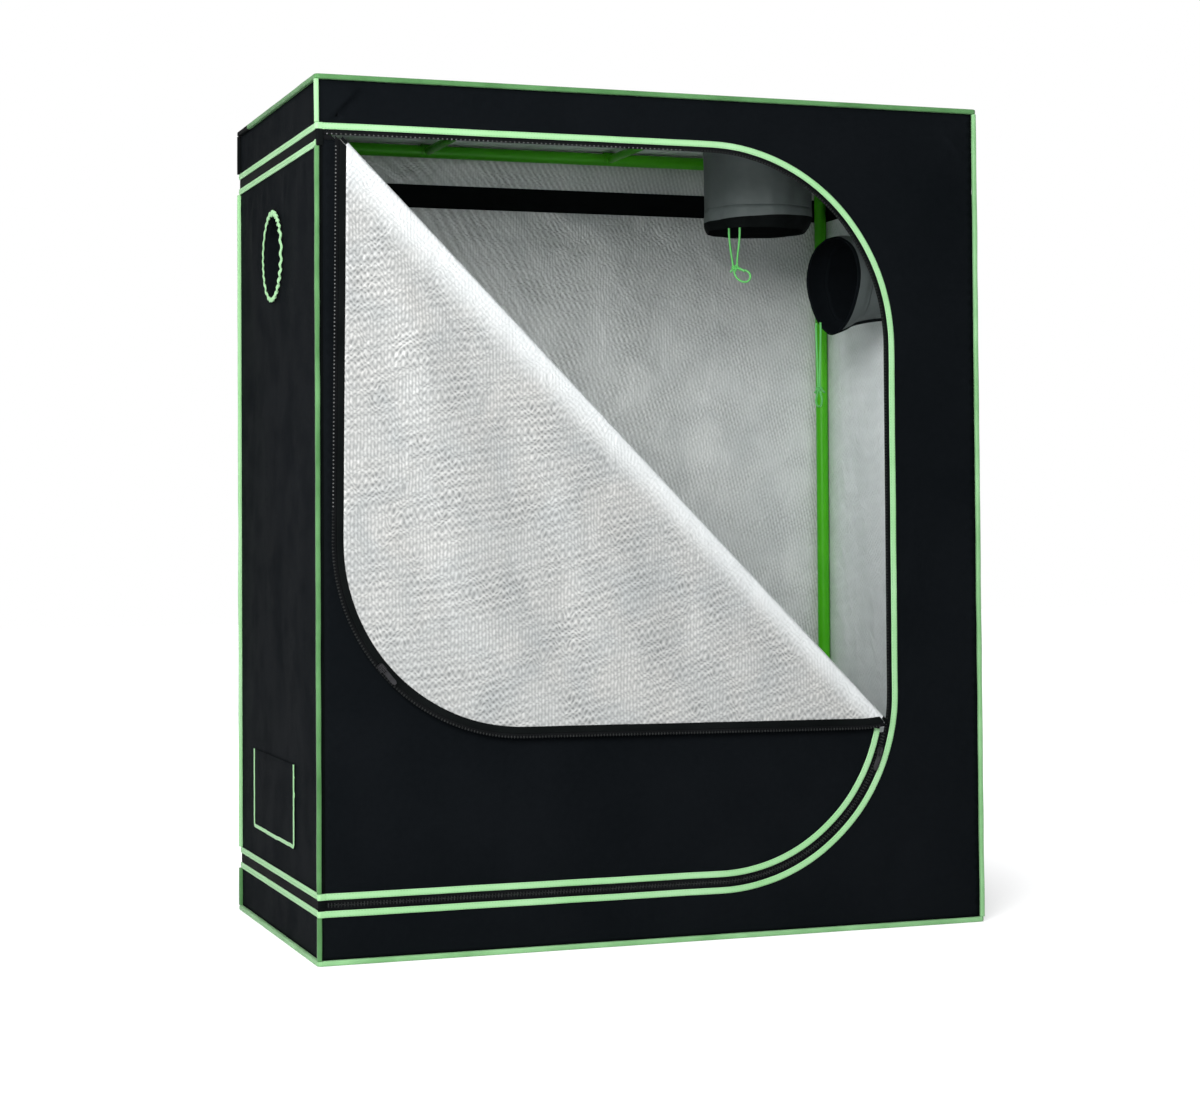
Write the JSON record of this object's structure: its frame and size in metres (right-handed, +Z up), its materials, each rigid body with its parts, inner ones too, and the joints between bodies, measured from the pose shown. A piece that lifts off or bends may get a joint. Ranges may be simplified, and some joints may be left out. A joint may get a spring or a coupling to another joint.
{
  "type": "indoor grow tent",
  "caption": "Zipped box tent of dark cloth with a silver lining on a push-together tube frame, with a folded door flap, duct sleeves, hanging bars and a floor tray.",
  "frame": {"origin": "middle of the tent's footprint, on the surface that it stands on", "axes": "+Z up, the front with the zipped door faces -Y, +X to the right as seen from the front"},
  "size_m": [1.2558, 0.6968, 1.5],
  "materials": {
    "cloth_black": "matte",
    "lining_silver": "bright",
    "binding_green": "satin",
    "tube_green": "satin",
    "zip_black": "matte",
    "metal_dark": "satin",
    "net_black": "matte",
    "plastic_black": "satin"
  },
  "bodies": {
    "tent": {"roof_panel": "cloth_black", "floor_panel": "cloth_black", "front_panel": "cloth_black", "left_wall": "cloth_black", "right_wall": "cloth_black", "back_wall": "cloth_black", "top_edge_piping": "binding_green", "bottom_edge_piping": "binding_green", "corner_piping_front_left": "binding_green", "corner_piping_front_right": "binding_green", "corner_piping_rear_left": "binding_green", "corner_piping_rear_right": "binding_green", "zip_piping": "binding_green", "zip_tape_frame": "zip_black", "upper_band": "binding_green", "lower_band": "binding_green", "inner_band": "zip_black", "roof_sleeve": "lining_silver", "roof_sleeve_collar": "zip_black", "right_sleeve": "lining_silver", "right_sleeve_collar": "zip_black", "left_port_ring": "binding_green", "left_port_sleeve": "cloth_black", "vent_net": "net_black", "roof_drawstring": "binding_green", "right_drawstring": "binding_green", "post_front_left": "tube_green", "post_front_right": "tube_green", "post_rear_left": "tube_green", "post_rear_right": "tube_green", "bottom_rail_front": "tube_green", "bottom_rail_rear": "tube_green", "bottom_rail_left": "tube_green", "bottom_rail_right": "tube_green", "top_rail_front": "tube_green", "top_rail_rear": "tube_green", "top_rail_left": "tube_green", "top_rail_right": "tube_green", "corner_bottom_front_left": "plastic_black", "corner_bottom_front_right": "plastic_black", "corner_bottom_rear_left": "plastic_black", "corner_bottom_rear_right": "plastic_black", "corner_top_front_left": "plastic_black", "corner_top_front_right": "plastic_black", "corner_top_rear_left": "plastic_black", "corner_top_rear_right": "plastic_black"},
    "door": {"door_panel": "cloth_black", "door_piping": "binding_green", "zip_tape_door": "zip_black"},
    "door_flap": {"door_flap": "lining_silver", "flap_piping": "binding_green", "zip_tape_flap": "zip_black"},
    "lower_slider": {"zip_slider_lower": "metal_dark"},
    "lower_pull": {"zip_pull_lower": "metal_dark"},
    "flap_slider": {"zip_slider_flap": "metal_dark"},
    "flap_pull": {"zip_pull_flap": "metal_dark"},
    "vent_flap": {"vent_flap": "cloth_black"},
    "bar_left": {"hanging_bar_left": "tube_green"},
    "bar_right": {"hanging_bar_right": "tube_green"},
    "tray": {"floor_tray": "lining_silver"}
  },
  "joints": [
    {"name": "door_swing", "type": "hinge", "parent": "tent", "child": "door", "pos_m": [-0.613, -0.3405, 0.75], "axis": [0, 0, -1], "range_deg": [0, 105]},
    {"name": "flap_fold", "type": "hinge", "parent": "door", "child": "door_flap", "pos_m": [-0.0793, -0.33925, 0.87936], "axis": [-0.703, 0, 0.7112], "range_deg": [0, 180]},
    {"name": "lower_slider_run", "type": "hinge", "parent": "door", "child": "lower_slider", "pos_m": [0.10698, -0.33225, 0.42651], "axis": [0, 1, 0], "range_deg": [-3, 66]},
    {"name": "lower_pull_lift", "type": "hinge", "parent": "lower_slider", "child": "lower_pull", "pos_m": [0.41519, -0.33995, 0.32039], "axis": [-0.9455, 0, 0.3256], "range_deg": [0, 100]},
    {"name": "flap_slider_run", "type": "hinge", "parent": "door_flap", "child": "flap_slider", "pos_m": [-0.25965, -0.34625, 0.70889], "axis": [0, -1, 0], "range_deg": [-36, 45]},
    {"name": "flap_pull_lift", "type": "hinge", "parent": "flap_slider", "child": "flap_pull", "pos_m": [-0.51501, -0.35395, 0.49584], "axis": [-0.7678, 0, -0.6406], "range_deg": [0, 100]},
    {"name": "vent_flap_lift", "type": "hinge", "parent": "tent", "child": "vent_flap", "pos_m": [-0.6223, 0.03196, 0.3195], "axis": [0, 1, 0], "range_deg": [0, 170]},
    {"name": "bar_left_slide", "type": "slide", "parent": "tent", "child": "bar_left", "axis": [1, 0, 0], "range_m": [-0.29, 0.14]},
    {"name": "bar_right_slide", "type": "slide", "parent": "tent", "child": "bar_right", "axis": [1, 0, 0], "range_m": [-0.14, 0.055]},
    {"name": "tray_lift", "type": "slide", "parent": "tent", "child": "tray", "axis": [0, 0, 1], "range_m": [0, 0.12]}
  ]
}
